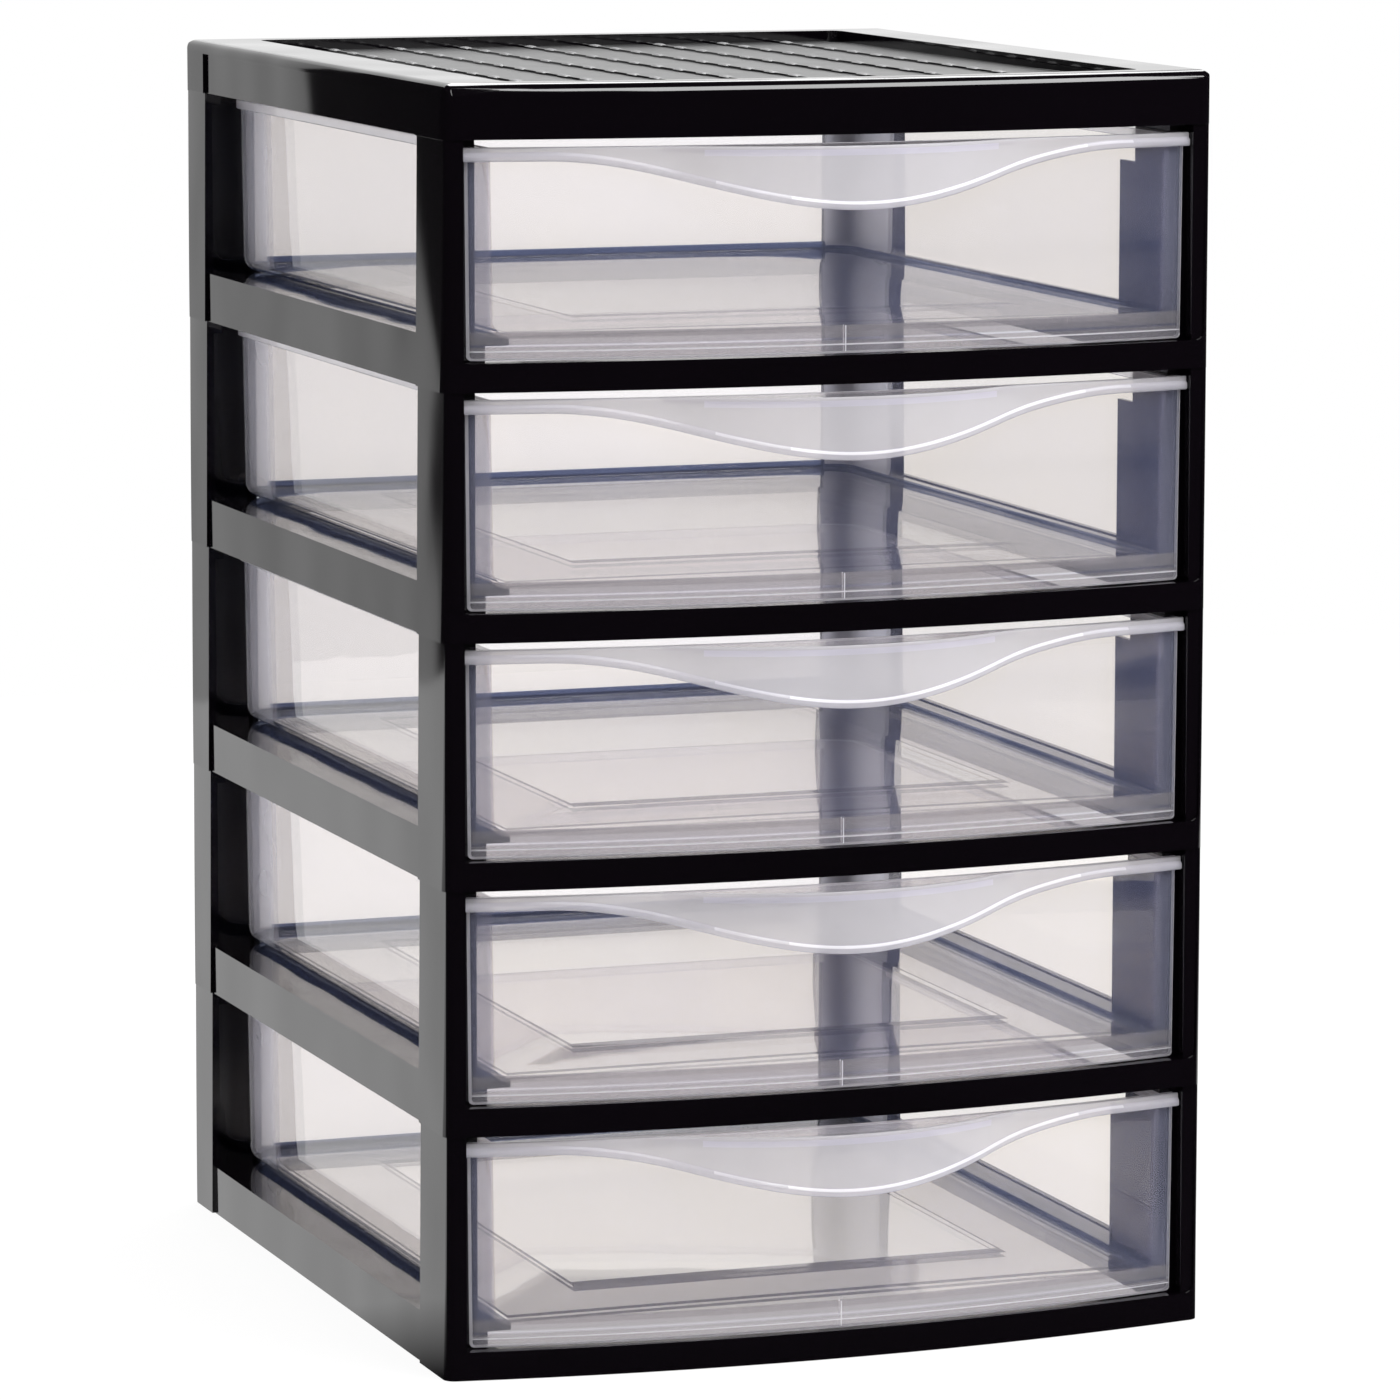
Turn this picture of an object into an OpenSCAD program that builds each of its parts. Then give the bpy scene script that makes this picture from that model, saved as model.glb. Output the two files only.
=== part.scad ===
// Stacking drawer tower: five black frame modules, a lid and five clear drawers.
// X runs across the front, Y from the front to the back, Z up. The origin is at the
// middle of the footprint, on the surface that the tower stands on.

/* [Tower] */
// Width over the corner posts
frame_w = 298; // [260:1:340]
// Depth from the front corners to the back face
frame_d = 330; // [280:1:400]
// Height of one module, from joint to joint
level_h = 90; // [80:1:120]
// How far the middle of the front stands ahead of its corners
front_bow = 14; // [8:1:20]
// Radius of the upright corners
corner_r = 4.5; // [3:0.5:6]
// How much a module narrows on each side from its foot to its top
draft = 0.8; // [0.4:0.1:1.2]

/* [Frame modules] */
// Thickness of the black walls
wall_t = 2.4; // [2:0.1:3]
// Height of the side rails
side_rail_h = 19; // [18:0.5:24]
// Height of the front rail
front_rail_h = 10.5; // [8:0.5:11.5]
// Radius along the top edge of the front rail
front_rail_r = 2.5; // [1.5:0.5:3]
// Depth of the front rail from its face to its inner edge
front_rail_d = 9; // [7:0.5:12]
// Height of the top of the rear rail
rear_rail_h = 20.5; // [19.5:0.5:24]
// Height of the slot under the rear rail
rear_slot_h = 9.5; // [6:0.5:11]
// Distance of the ledge's top below the top of the side rails
ledge_drop = 0.5; // [0.3:0.1:1.5]
// Thickness of the ledges
ledge_t = 2.6; // [2:0.1:4]
// Reach of the side ledges, from the outer face inwards
ledge_w = 27; // [25:1:32]
// Reach of the rear ledge, from the outer face inwards
rear_ledge_w = 28; // [20:1:34]
// Width of the front posts beside the drawer front
post_face_w = 7.8; // [6.5:0.1:9]
// How far the front posts' faces stand behind the face of the rail
post_setback = 0.8; // [0.4:0.1:1.2]
// Width of the corner strip beside the set back face
post_edge_w = 1.6; // [1:0.1:2.4]
// Radius at the foot of the set back face
post_foot_r = 3.5; // [2:0.5:4]
// Depth of the front posts along the sides
front_leg_d = 31.5; // [26:0.5:36]
// Depth of the rear posts along the sides
rear_leg_d = 26; // [22:1:34]
// Width of the rear posts across the back
rear_leg_w = 27; // [24:1:34]
// Depth of the stiffening lip inside the rear posts
rear_lip_d = 3; // [2:0.5:4]
// How far the corners stand proud of the side faces
boss_proud = 1.2; // [0.6:0.1:1.6]
// Reach of the drawer guides, from the front corners backwards
guide_reach = 52; // [42:1:60]
// Distance of the drawer guides' running face from the outer face
guide_inset = 14.2; // [13.4:0.1:14.6]
// Thickness of the drawer guides
guide_t = 2; // [1.6:0.1:2.4]
// Length of the stop notch at the rear of each guide
notch_l = 14; // [8:1:18]
// Height of the stop notch below the module's top
notch_h = 16; // [10:1:20]
// Height of the pegs on the posts
peg_h = 5; // [3:0.5:8]
// Clearance of the pegs in the module above
peg_gap = 0.4; // [0.3:0.1:0.6]

/* [Lid] */
// Height of the lid
lid_h = 20; // [16:1:26]
// Radius along the top edges of the lid
lid_edge_r = 4.5; // [3:0.5:6]
// Depth of the recess in the top
recess_depth = 4.5; // [3:0.5:6]
// Width of the rims beside the recess
rim_side_w = 26; // [20:1:34]
// Width of the rim in front of the recess
rim_front_w = 12; // [9:1:18]
// Width of the rim behind the recess
rim_rear_w = 15; // [10:1:22]
// Radius of the recess corners
recess_r = 5; // [3:0.5:8]
// Spacing of the ribs in the recess
rib_pitch = 27.3; // [22:0.1:29]
// Width of a rib
rib_w = 1.6; // [1:0.1:3]
// Height of a rib
rib_h = 0.8; // [0.4:0.1:1.5]

/* [Drawers] */
// Thickness of the tray walls and floor
tray_t = 1.8; // [1.4:0.1:2.2]
// Distance of the tray walls from the outer face, at the rim
tray_inset = 17; // [16.8:0.1:18]
// How much the tray narrows on each side from rim to floor
tray_draft = 1; // [0.4:0.1:1.4]
// Radius where the tray walls meet the floor
tray_edge_r = 6; // [4:0.5:6.5]
// Upright radius of the tray's rear corners
tray_corner_r = 12; // [8:1:18]
// Height of the raised middle of the tray's floor
crown_h = 1.8; // [0.6:0.2:3]
// Width of the level foot of the tray's floor, beside the walls
crown_foot = 9; // [8:1:14]
// Distance of the raised middle from the tray's side and back walls
crown_border = 46; // [30:1:60]
// Distance of the raised middle behind the front corners
crown_front = 42; // [30:1:60]
// Space between the tray's back wall and the back of the tower
tray_back_gap = 10; // [9:0.5:16]
// Height of the rim flange round the tray
rim_flange_h = 3.6; // [2:0.2:5]
// How far the rim flange stands out
rim_flange_w = 1.8; // [1.2:0.1:2]
// Clearance under the tray, over the ledges
ride_gap = 0.3; // [0.2:0.05:0.5]
// Clearance between the drawer's top and the module above
top_gap = 3; // [2:0.5:5]
// Clearance of the drawer front's top band at its ends
front_gap = 0.5; // [0.4:0.1:1]
// Clearance between the drawer front and the front rail
rail_gap = 1.5; // [1:0.1:2.5]
// Thickness of the drawer front
front_t = 2.2; // [1.8:0.1:3]
// Distance of the drawer front behind the front rail's face, at the middle
front_setback = 2; // [1:0.5:3]
// Bow of the drawer front
panel_bow = 15.6; // [8:0.2:20]
// How much further the top band reaches than the drawer front, on each side
band_reach = 1.5; // [0.8:0.1:2]
// How much the drawer front narrows on each side from its top to its foot
panel_draft = 1.2; // [0.4:0.1:1.6]
// Radius of the drawer front's corners
panel_corner_r = 3; // [2:0.5:5]
// Height of the raised band along the top of the drawer front
band_h = 5; // [4:0.5:7]
// How far the band stands ahead of the drawer front
band_proud = 1.6; // [1:0.1:2.4]

/* [Handle] */
// Width of the brim where it leaves the drawer front
brim_w = 132; // [110:1:150]
// Reach of the brim ahead of the drawer front
brim_reach = 18; // [14:1:22]
// Radius that blends the brim into the drawer front
brim_blend_r = 60; // [40:5:80]
// Drop of the brim's lower edge at the middle, from the drawer's top
brim_drop = 23; // [18:1:28]
// Width of the bell-shaped lower edge
bell_w = 224; // [180:1:240]
// Thickness of the brim
brim_t = 2.2; // [1.8:0.1:2.6]
// Height of the lip along the brim's lower edge
brim_lip_h = 3; // [2:0.2:4]
// How far the lip stands ahead of the brim
brim_lip_proud = 0.8; // [0.4:0.1:1.2]

/* [Hidden] */
level_count = 5;
frame_black = [0.04, 0.04, 0.045];
lid_black = [0.06, 0.06, 0.065];
drawer_clear = [0.82, 0.82, 0.88, 0.45];
// A length that reaches past anything it cuts
over = 1;
// A hair, by which faces that would run into each other are kept apart, and a small
// angle, by which sectors run on past the edge that cuts them
lap = 0.04;
lap_turn = 0.5;
// Fineness of small round edges, and of the long shallow arcs
edge_fn = 48;
arc_fn = 900;

// Half the width, and the arc that bows the front: its radius and its centre
half_w = frame_w / 2;
bow_r = (half_w * half_w + front_bow * front_bow) / (2 * front_bow);
bow_y = bow_r - front_bow;

// Heights inside a module
ledge_top = side_rail_h - ledge_drop;
tray_bottom = ledge_top + ride_gap;
drawer_top = level_h - top_gap;
panel_bottom = front_rail_h + rail_gap;

// The drawer front: half the width of its band, which is its widest part, and the arc of
// its face
band_half_w = half_w - post_face_w - front_gap;
panel_r = (band_half_w * band_half_w + panel_bow * panel_bow) / (2 * panel_bow);
panel_face_y = front_setback - front_bow;
panel_y = panel_face_y + panel_r;
panel_edge_y = panel_face_y + panel_bow;

// The web of each front post that the drawer front closes against
stop_y = panel_edge_y + front_t + front_gap;

// The tray: half its width at the rim, and where its back wall stands
tray_half_w = half_w - tray_inset;
tray_back_y = frame_d - tray_back_gap;

// The brim: the arc that it follows, which its face stands ahead of as the band stands
// ahead of the drawer front
brim_face_y = panel_face_y - brim_reach;
brim_chord_y = panel_y - sqrt(panel_r * panel_r - brim_w * brim_w / 4);
brim_rise = brim_chord_y - brim_face_y - band_proud;
brim_r = (brim_w * brim_w / 4 + brim_rise * brim_rise) / (2 * brim_rise);
brim_y = brim_face_y + band_proud + brim_r;

// The arc of the other hand that blends the brim into the drawer front: its centre lies
// at one reach from the brim's centre and at another from the drawer front's
brim_gap = panel_y - brim_y;
blend_reach = [brim_r + brim_blend_r, panel_r + brim_blend_r];
blend_y = (pow(blend_reach[0], 2) - pow(blend_reach[1], 2) + pow(brim_gap, 2)) / (2 * brim_gap);
blend_x = sqrt(pow(blend_reach[0], 2) - pow(blend_y, 2));
brim_turn = atan2(blend_x, -blend_y);
panel_turn = atan2(blend_x, brim_gap - blend_y);
band_turn = asin(band_half_w / panel_r);

// The lower edge of the band and the brim, from the left end to the right: level, but
// for the bell that falls by bell_fall * (1 + cos(180 * x / bell_run)) / 2
bell_fall = brim_drop - band_h;
bell_run = bell_w / 2;
bell_low = drawer_top - band_h;
bell_edge = concat([[-band_half_w, bell_low]],
    [for (i = [-16:16]) [i * bell_run / 16, bell_low - bell_fall * (1 + cos(180 * i / 16)) / 2]],
    [[band_half_w, bell_low]]);

// The footprint runs from the brim to the back face, and the origin is at its middle
mid_y = (brim_face_y - brim_lip_proud + frame_d) / 2;

// Shapes of the plan -------------------------------------------------------

// The tower's plan, drawn in by inset: straight sides and back, a bowed front, and
// upright corners of radius r
module plan(inset = 0, r = corner_r) {
    w = half_w - inset;
    big_r = bow_r - inset;
    edge_x = w - r;
    edge_y = bow_y - sqrt((big_r - r) * (big_r - r) - edge_x * edge_x);
    spread = asin(edge_x / (big_r - r));
    back_y = frame_d - inset;
    intersection() {
        translate([0, bow_y]) circle(big_r, $fn = arc_fn);
        polygon([[0, bow_y], [-bow_y * 2 * tan(spread), -bow_y], [bow_y * 2 * tan(spread), -bow_y]]);
        translate([-w, -front_bow - over]) square([2 * w, back_y]);
    }
    translate([-w, edge_y]) square([2 * w, back_y - r - edge_y]);
    translate([-edge_x, edge_y]) square([2 * edge_x, back_y - edge_y]);
    for (side = [-1, 1]) {
        translate([side * edge_x, edge_y]) circle(r, $fn = edge_fn);
        translate([side * edge_x, back_y - r]) circle(r, $fn = edge_fn);
    }
}

// A solid with the plan's outline that narrows by the draft on its way up: side
// planes, a back plane and a cone for the bowed front
module drafted_body(h) {
    lean = draft * h / level_h;
    intersection() {
        linear_extrude(h) plan();
        translate([0, frame_d + over, 0]) rotate([90, 0, 0]) linear_extrude(frame_d + front_bow + 2 * over)
            polygon([[-half_w, 0], [half_w, 0], [half_w - lean, h], [lean - half_w, h]]);
        translate([-half_w - over, 0, 0]) rotate([90, 0, 90]) linear_extrude(frame_w + 2 * over)
            polygon([[-front_bow - over, 0], [frame_d, 0], [frame_d - lean, h], [-front_bow - over, h]]);
        translate([0, bow_y, 0]) rotate_extrude($fn = arc_fn)
            polygon([[0, 0], [bow_r, 0], [bow_r - lean, h], [0, h]]);
    }
}

// Frame modules ------------------------------------------------------------

// Everything inside the outer walls, from z = low to z = high
module frame_inside(low, high) {
    clear = wall_t + boss_proud;
    translate([0, 0, low]) linear_extrude(high - low) intersection() {
        plan(wall_t, corner_r - wall_t / 2);
        translate([clear - half_w, -front_bow]) square([frame_w - 2 * clear, frame_d + front_bow]);
    }
}

// What is taken off a front post's face, which stands behind the rail's: an area beside
// the mouth, with a round lower corner at the outer end
module post_recess() {
    high_x = half_w - post_edge_w - draft;
    low_x = half_w - post_face_w - over;
    r = post_foot_r;
    intersection() {
        translate([0, bow_y, 0]) difference() {
            cylinder(r = bow_r + over, h = level_h + over, $fn = arc_fn);
            translate([0, 0, -over])
                cylinder(r = bow_r - post_setback, h = level_h + 3 * over, $fn = arc_fn);
        }
        translate([0, corner_r, 0]) rotate([90, 0, 0]) linear_extrude(front_bow) {
            translate([low_x, front_rail_h]) square([high_x - r - low_x, level_h]);
            translate([low_x, front_rail_h + r]) square([high_x - low_x, level_h]);
            translate([high_x - r, front_rail_h + r]) circle(r, $fn = edge_fn);
        }
    }
}

// The outer walls of the ring and of the four posts
module frame_walls() {
    post_d = frame_d + front_bow;
    difference() {
        drafted_body(level_h);
        frame_inside(-over, level_h + over);
        // the mouth that the drawer fills, over the front rail
        translate([post_face_w - half_w, -front_bow - over, front_rail_h])
            cube([frame_w - 2 * post_face_w, front_bow + corner_r + 2 * over, level_h]);
        for (side = [0, 1]) mirror([side, 0, 0]) post_recess();
        // the side windows
        translate([-half_w - over, front_leg_d, side_rail_h])
            cube([frame_w + 2 * over, frame_d - front_leg_d - rear_leg_d, level_h]);
        // the open back, and the slot under the rear rail
        translate([rear_leg_w - half_w, frame_d - rear_leg_d, rear_rail_h])
            cube([frame_w - 2 * rear_leg_w, post_d, level_h]);
        translate([rear_leg_w - half_w, frame_d - rear_leg_d, -over])
            cube([frame_w - 2 * rear_leg_w, post_d, rear_slot_h + over]);
        // the side faces between the proud corners
        for (side = [-1, 1])
            translate([side * half_w - boss_proud, front_leg_d, -over])
                cube([2 * boss_proud, frame_d - front_leg_d - rear_leg_d, level_h]);
    }
}

// The ledges that carry the drawer, along both sides and the back
module ledges() {
    translate([0, 0, ledge_top - ledge_t]) linear_extrude(ledge_t) difference() {
        intersection() {
            plan(wall_t / 2);
            translate([-half_w, stop_y]) square([frame_w, frame_d]);
        }
        translate([ledge_w - half_w, stop_y - over])
            square([frame_w - 2 * ledge_w, frame_d - rear_ledge_w - stop_y + over]);
    }
}

// The front rail: a bowed angle section with a round top edge
module front_rail() {
    intersection() {
        translate([0, bow_y, 0]) rotate_extrude($fn = arc_fn) difference() {
            union() {
                translate([bow_r - front_rail_d, front_rail_h - wall_t])
                    square([front_rail_d - front_rail_r, wall_t]);
                translate([bow_r - front_rail_r, front_rail_h - front_rail_r])
                    circle(front_rail_r, $fn = edge_fn);
                translate([bow_r - wall_t, 0]) square([wall_t, front_rail_h - front_rail_r]);
            }
            translate([0, -over]) square([bow_r - front_rail_d, level_h]);
        }
        drafted_body(level_h);
        translate([wall_t - half_w, -front_bow - over, 0])
            cube([frame_w - 2 * wall_t, front_bow + front_rail_d, front_rail_h]);
    }
}

// What stands inside a front post: the web that the drawer front closes against and
// the guide that the tray slides along, with a stop notch at its rear
module front_guide() {
    web_y = stop_y;
    run_x = half_w - guide_inset;
    difference() {
        union() {
            translate([run_x, web_y, ledge_top - ledge_t])
                cube([guide_inset - post_face_w + wall_t, wall_t, level_h - ledge_top + ledge_t]);
            translate([half_w - post_face_w, 0, front_rail_h - wall_t])
                cube([wall_t, web_y + wall_t, level_h - front_rail_h + wall_t]);
            translate([run_x, web_y, ledge_top - ledge_t])
                cube([guide_t, guide_reach - web_y, level_h - ledge_top + ledge_t]);
        }
        translate([run_x - over, guide_reach - notch_l, level_h - notch_h])
            cube([guide_t + 2 * over, notch_l + over, notch_h + over]);
    }
}

// The lip inside a rear post, along the inner edge of its back leg
module rear_lip() {
    translate([half_w - rear_leg_w, frame_d - wall_t - rear_lip_d, rear_rail_h - wall_t])
        cube([wall_t, rear_lip_d + wall_t / 2, level_h - rear_rail_h + wall_t]);
}

// The pegs that a post sends up into the module above
module pegs() {
    peg_x = half_w - wall_t - boss_proud - draft - peg_gap;
    translate([peg_x - wall_t, stop_y + wall_t + peg_gap, level_h - peg_h])
        cube([wall_t, front_leg_d - stop_y - 2 * wall_t, 2 * peg_h]);
    translate([peg_x - wall_t, frame_d - rear_leg_d + peg_gap, level_h - peg_h])
        cube([wall_t, rear_leg_d - 2 * wall_t - draft - 2 * peg_gap, 2 * peg_h]);
}

// The webs that tie the pegs to their posts
module peg_roots() {
    peg_x = half_w - wall_t - boss_proud - draft - peg_gap;
    translate([peg_x - wall_t, stop_y + wall_t + peg_gap, level_h - peg_h])
        cube([wall_t + boss_proud + wall_t, front_leg_d - stop_y - 2 * wall_t, peg_h]);
    translate([peg_x - wall_t, frame_d - rear_leg_d + peg_gap, level_h - peg_h])
        cube([wall_t + boss_proud + wall_t, rear_leg_d - 2 * wall_t - draft - 2 * peg_gap, peg_h]);
}

// One frame module at height 0
module frame_module() {
    color(frame_black) {
        frame_walls();
        intersection() {
            union() {
                ledges();
                for (side = [0, 1]) mirror([side, 0, 0]) {
                    front_guide();
                    rear_lip();
                    peg_roots();
                }
            }
            drafted_body(level_h);
        }
        front_rail();
        for (side = [0, 1]) mirror([side, 0, 0]) pegs();
    }
}

// Lid ----------------------------------------------------------------------

// The lid's outer form: the plan with all top edges rounded
module lid_form() {
    back = frame_d + front_bow + 2 * over;
    intersection() {
        linear_extrude(lid_h) plan();
        translate([0, frame_d + over, 0]) rotate([90, 0, 0]) linear_extrude(back) {
            translate([-half_w, 0]) square([frame_w, lid_h - lid_edge_r]);
            translate([lid_edge_r - half_w, 0]) square([frame_w - 2 * lid_edge_r, lid_h]);
            for (side = [-1, 1])
                translate([side * (half_w - lid_edge_r), lid_h - lid_edge_r])
                    circle(lid_edge_r, $fn = edge_fn);
        }
        translate([-half_w - over, 0, 0]) rotate([90, 0, 90]) linear_extrude(frame_w + 2 * over) {
            translate([-front_bow - over, 0]) square([back - over, lid_h - lid_edge_r]);
            translate([-front_bow - over, 0]) square([back - over - lid_edge_r, lid_h]);
            translate([frame_d - lid_edge_r, lid_h - lid_edge_r]) circle(lid_edge_r, $fn = edge_fn);
        }
        translate([0, bow_y, 0]) rotate_extrude($fn = arc_fn) {
            square([bow_r, lid_h - lid_edge_r]);
            square([bow_r - lid_edge_r, lid_h]);
            translate([bow_r - lid_edge_r, lid_h - lid_edge_r]) circle(lid_edge_r, $fn = edge_fn);
        }
    }
}

// The plan of the recess, grown by grow: its front follows the bow
module recess_plan(grow = 0) {
    w = half_w - rim_side_w + grow;
    r = recess_r + grow;
    front_r = bow_r - rim_front_w + grow;
    edge_x = w - r;
    edge_y = bow_y - sqrt((front_r - r) * (front_r - r) - edge_x * edge_x);
    spread = asin(edge_x / (front_r - r));
    back_y = frame_d - rim_rear_w + grow;
    intersection() {
        translate([0, bow_y]) circle(front_r, $fn = arc_fn);
        polygon([[0, bow_y], [-bow_y * 2 * tan(spread), -bow_y], [bow_y * 2 * tan(spread), -bow_y]]);
        translate([-w, -front_bow - over]) square([2 * w, back_y]);
    }
    translate([-w, edge_y]) square([2 * w, back_y - r - edge_y]);
    translate([-edge_x, edge_y]) square([2 * edge_x, back_y - edge_y]);
    for (side = [-1, 1]) {
        translate([side * edge_x, edge_y]) circle(r, $fn = edge_fn);
        translate([side * edge_x, back_y - r]) circle(r, $fn = edge_fn);
    }
}

// The ribs of the recess floor, set out from the middle
module lid_ribs() {
    w = half_w - rim_side_w;
    per_side = floor((w - recess_r + rib_pitch / 2) / rib_pitch);
    floor_z = lid_h - recess_depth;
    translate([0, 0, floor_z - over]) linear_extrude(rib_h + over) intersection() {
        recess_plan();
        for (i = [1:per_side])
            for (side = [-1, 1])
                translate([side * (i - 0.5) * rib_pitch - rib_w / 2, -front_bow])
                    square([rib_w, frame_d + front_bow]);
    }
}

// The lid at height 0: a shell, open below, with a stepped top
module lid_module() {
    floor_z = lid_h - recess_depth;
    color(lid_black) {
        difference() {
            lid_form();
            translate([0, 0, floor_z]) linear_extrude(lid_h) recess_plan();
            difference() {
                frame_inside(-over, lid_h - wall_t);
                translate([0, 0, floor_z - wall_t]) linear_extrude(lid_h) recess_plan(wall_t);
            }
            for (side = [-1, 1])
                translate([side * half_w - boss_proud, front_leg_d, -over])
                    cube([2 * boss_proud, frame_d - front_leg_d - rear_leg_d, lid_h - lid_edge_r + over]);
        }
        lid_ribs();
    }
}

// Drawers ------------------------------------------------------------------

// A section with a level foot, sides that lean out on their way up and round corners of
// radius r that touch both. The sides stand w from the middle at the drawer's top
module leaning_section(w, lean, low, high, r) {
    low_w = w - (drawer_top - low) * tan(lean);
    high_w = w + (high - drawer_top) * tan(lean);
    round_x = low_w + r * tan(lean) - r / cos(lean);
    touch = [round_x + r * cos(lean), low + r - r * sin(lean)];
    polygon([[-round_x, low], [round_x, low], touch,
        [high_w, high], [-high_w, high], [-touch[0], touch[1]]]);
    for (side = [-1, 1]) translate([side * round_x, low + r]) circle(r, $fn = edge_fn);
}

// The tray's section across the drawer, drawn in by inset, with its walls up to top
module tray_section(inset, top) {
    lean = atan(tray_draft / (drawer_top - tray_bottom));
    leaning_section(tray_half_w - inset, lean, tray_bottom + inset, top, tray_edge_r - inset);
}

// The tray's section along the drawer, drawn in by inset
module tray_side(inset, top) {
    r = tray_edge_r - inset;
    low = tray_bottom + inset;
    front = brim_face_y;
    back = tray_back_y - inset;
    translate([front, low + r]) square([back - front, top - low - r]);
    translate([front, low]) square([back - r - front, r + over]);
    translate([back - r, low + r]) circle(r, $fn = edge_fn);
}

// The tray's plan, drawn in by inset, with rounded rear corners
module tray_plan(inset) {
    w = tray_half_w - inset;
    r = tray_corner_r - inset;
    front = brim_face_y;
    back = tray_back_y - inset;
    translate([-w, front]) square([2 * w, back - r - front]);
    translate([r - w, front]) square([2 * (w - r), back - front]);
    for (side = [-1, 1]) translate([side * (w - r), back - r]) circle(r, $fn = edge_fn);
}

// What the raised middle takes from below out of a tray form drawn in by inset: a low
// block with slopes on all four sides
module crown(inset) {
    low = tray_bottom + inset;
    edge_x = [tray_half_w - crown_foot, tray_half_w - crown_border];
    back_y = [tray_back_y - crown_foot, tray_back_y - crown_border];
    front_y = [panel_edge_y + front_t, crown_front];
    intersection() {
        translate([0, frame_d, 0]) rotate([90, 0, 0]) linear_extrude(2 * frame_d)
            crown_section([-edge_x[0], -edge_x[1], edge_x[1], edge_x[0]], low);
        translate([-half_w, 0, 0]) rotate([90, 0, 90]) linear_extrude(frame_w)
            crown_section([front_y[0], front_y[1], back_y[1], back_y[0]], low);
    }
}

// The raised middle's section: the four places across at which it rises and falls
module crown_section(at, low) {
    high = low + crown_h;
    polygon([[at[0], low - over], [at[0], low], [at[1], high],
        [at[2], high], [at[3], low], [at[3], low - over]]);
}

// The tray's form drawn in by inset, from its floor up to top
module tray_form(inset, top) {
    difference() {
        intersection() {
            translate([0, frame_d, 0]) rotate([90, 0, 0]) linear_extrude(2 * frame_d)
                tray_section(inset, top);
            translate([-half_w, 0, 0]) rotate([90, 0, 90]) linear_extrude(frame_w) tray_side(inset, top);
            linear_extrude(2 * level_h) tray_plan(inset);
        }
        crown(inset);
    }
}

// All that lies behind the drawer front's face moved back by inset
module behind_face(inset) {
    translate([0, panel_y, -over]) cylinder(r = panel_r - inset, h = 2 * level_h, $fn = arc_fn);
}

// The tray: walls, floor and the flange round its rim
module tray() {
    difference() {
        union() {
            tray_form(0, drawer_top);
            translate([0, 0, drawer_top - rim_flange_h]) linear_extrude(rim_flange_h)
                tray_plan(-rim_flange_w);
        }
        tray_form(tray_t, level_h + over);
    }
}

// The outline of the drawer front, seen from the front
module panel_outline() {
    lean = atan(panel_draft / (drawer_top - panel_bottom));
    leaning_section(band_half_w - band_reach, lean, panel_bottom, drawer_top, panel_corner_r);
}

// A flat shape, seen from the front, made into a bar through the whole drawer front
module through_front() {
    translate([0, panel_edge_y + front_t + over, 0]) rotate([90, 0, 0])
        linear_extrude(panel_edge_y + front_t + 2 * over - brim_face_y + brim_lip_proud) children();
}

// The band and bell under the drawer's top, seen from the front
module bell_outline() {
    polygon(concat(bell_edge, [[band_half_w, drawer_top], [-band_half_w, drawer_top]]));
}

// The strip along the bell's lower edge
module bell_strip() {
    last = len(bell_edge) - 1;
    polygon(concat(bell_edge, [for (i = [0:last]) bell_edge[last - i] + [0, brim_lip_h]]));
}

// The part of a ring about centre between two radii and two directions
module ring_sector(centre, low_r, high_r, from, to) {
    reach = 2 * high_r;
    intersection() {
        translate(centre) difference() {
            circle(high_r, $fn = arc_fn);
            circle(low_r, $fn = arc_fn);
        }
        polygon([centre, centre + reach * [cos(from), sin(from)], centre + reach * [cos(to), sin(to)]]);
    }
}

// A sheet t thick that follows the brim and the drawer front, with its face moved
// forward by grow, cut to the shape of the children: the brim, its two blends and the
// front beside them. Each laps under the next by a hair, so that their faces stay apart
module brim_sheet(grow, t) {
    blend_grow = grow - lap;
    front_grow = grow - 2 * lap;
    intersection() {
        linear_extrude(drawer_top)
            ring_sector([0, brim_y], brim_r + grow - t, brim_r + grow, -90 - brim_turn, -90 + brim_turn);
        children();
    }
    for (side = [0, 1]) mirror([side, 0, 0]) {
        intersection() {
            linear_extrude(drawer_top) ring_sector([blend_x, brim_y + blend_y], brim_blend_r - blend_grow,
                brim_blend_r - blend_grow + t, 90 + panel_turn - lap_turn, 90 + brim_turn + lap_turn);
            children();
        }
        intersection() {
            linear_extrude(drawer_top) ring_sector([0, panel_y], panel_r + front_grow - t,
                panel_r + front_grow, -90 + panel_turn, -90 + band_turn + lap_turn);
            children();
        }
    }
}

// The bowed sheet of the drawer front
module front_sheet() {
    intersection() {
        difference() {
            behind_face(0);
            behind_face(front_t);
        }
        through_front() panel_outline();
    }
}

// The top of the brim, from its wall back to the drawer front
module brim_top() {
    translate([0, 0, drawer_top - brim_t]) linear_extrude(brim_t) difference() {
        intersection() {
            translate([0, brim_y]) circle(brim_r + band_proud - brim_t / 2, $fn = arc_fn);
            polygon([[0, brim_y], 2 * brim_r * [-sin(brim_turn), -cos(brim_turn)] + [0, brim_y],
                2 * brim_r * [sin(brim_turn), -cos(brim_turn)] + [0, brim_y]]);
        }
        translate([0, panel_y]) circle(panel_r - front_t / 2, $fn = arc_fn);
    }
}

// The hanging wall of the brim, running out into the band
module brim_wall() {
    brim_sheet(band_proud, brim_t) through_front() bell_outline();
}

// The lip along the lower edge of the brim and the band
module brim_lip() {
    brim_sheet(band_proud + brim_lip_proud, brim_lip_proud + brim_t / 2) through_front() bell_strip();
}

// One drawer, in the place of its module at height 0
module drawer_module() {
    color(drawer_clear) {
        intersection() {
            tray();
            behind_face(front_t / 2);
        }
        front_sheet();
        brim_top();
        brim_wall();
        brim_lip();
    }
}

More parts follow.
